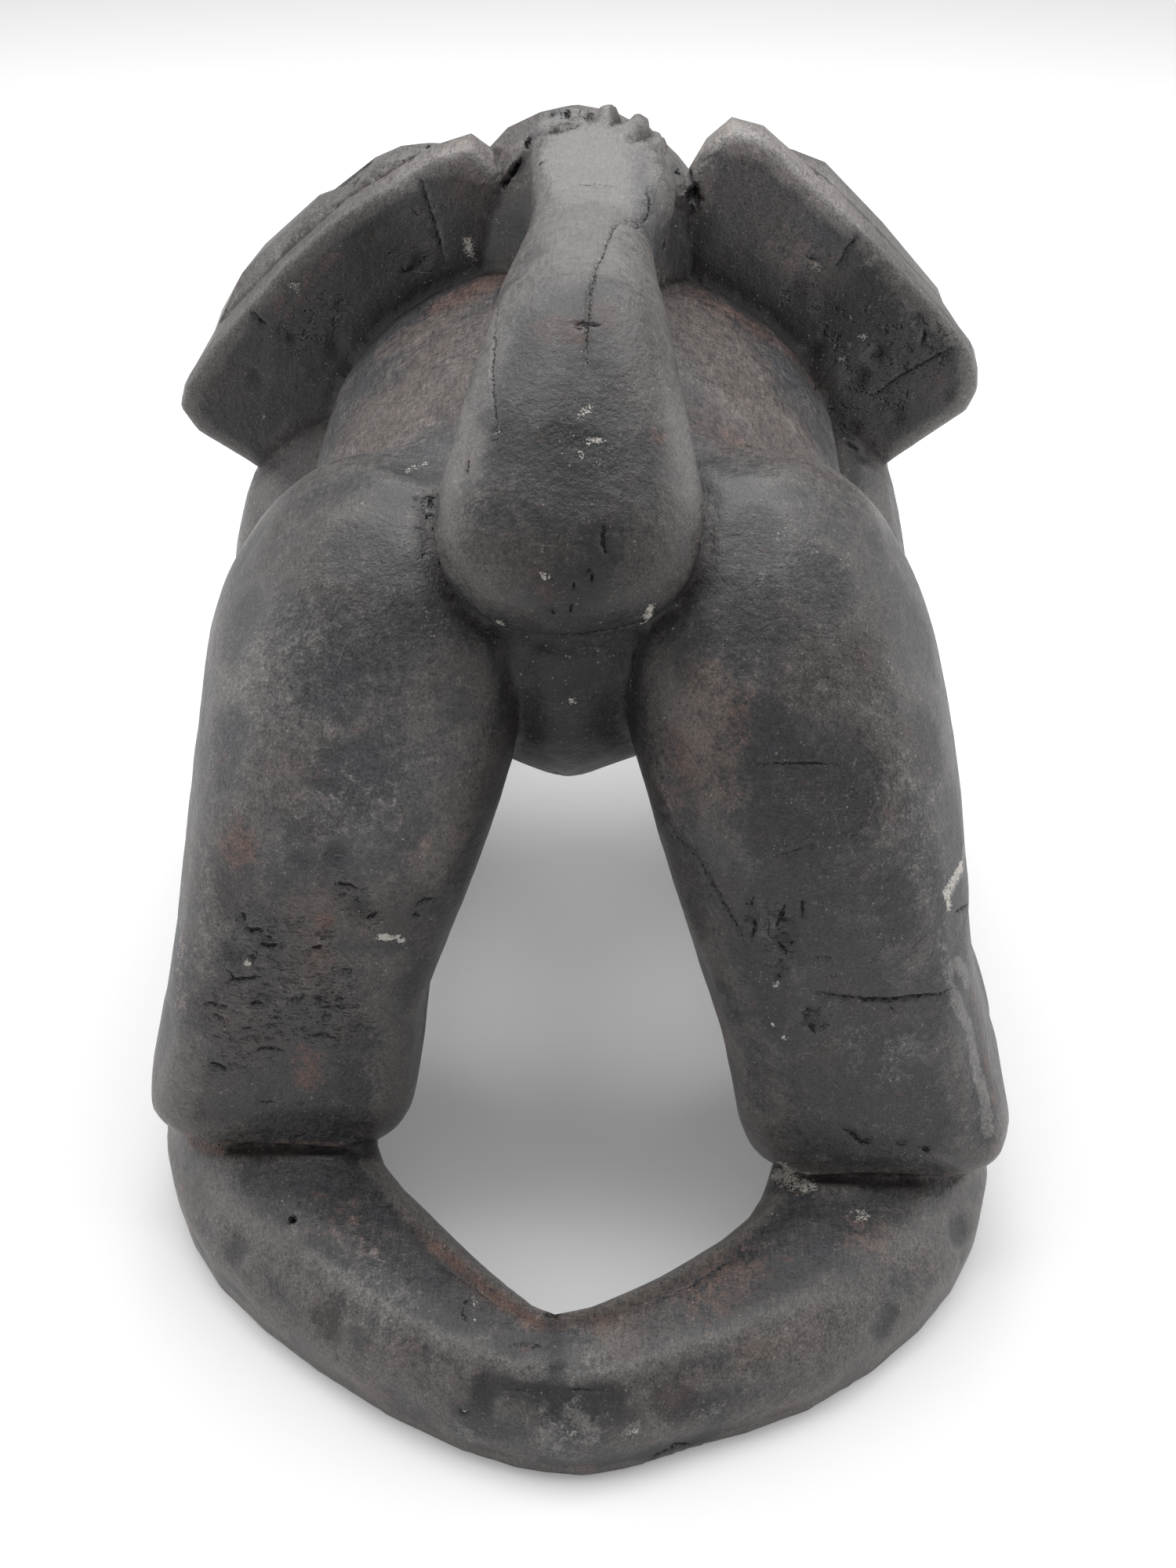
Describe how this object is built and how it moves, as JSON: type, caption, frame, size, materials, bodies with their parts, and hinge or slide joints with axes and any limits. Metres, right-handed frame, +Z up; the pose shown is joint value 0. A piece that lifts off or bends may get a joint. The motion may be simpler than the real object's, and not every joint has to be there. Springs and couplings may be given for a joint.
{
  "type": "carved elephant figure",
  "caption": "Carved dark wood elephant standing on an open ring base, cut from one log, with slab ears, a thick tail curled forward over its back and a trunk down to the ring.",
  "frame": {"origin": "bottom centre of the bounding box, on the surface the ring rests on", "axes": "+Y is the way the elephant faces, along the ring's length; +Z up; +X to its right"},
  "size_m": [0.361, 0.576, 0.366],
  "materials": {
    "dark_wood": "stained nearly black, worn and polished by handling"
  },
  "bodies": {
    "root": {"elephant_on_ring": "dark_wood"}
  },
  "joints": []
}
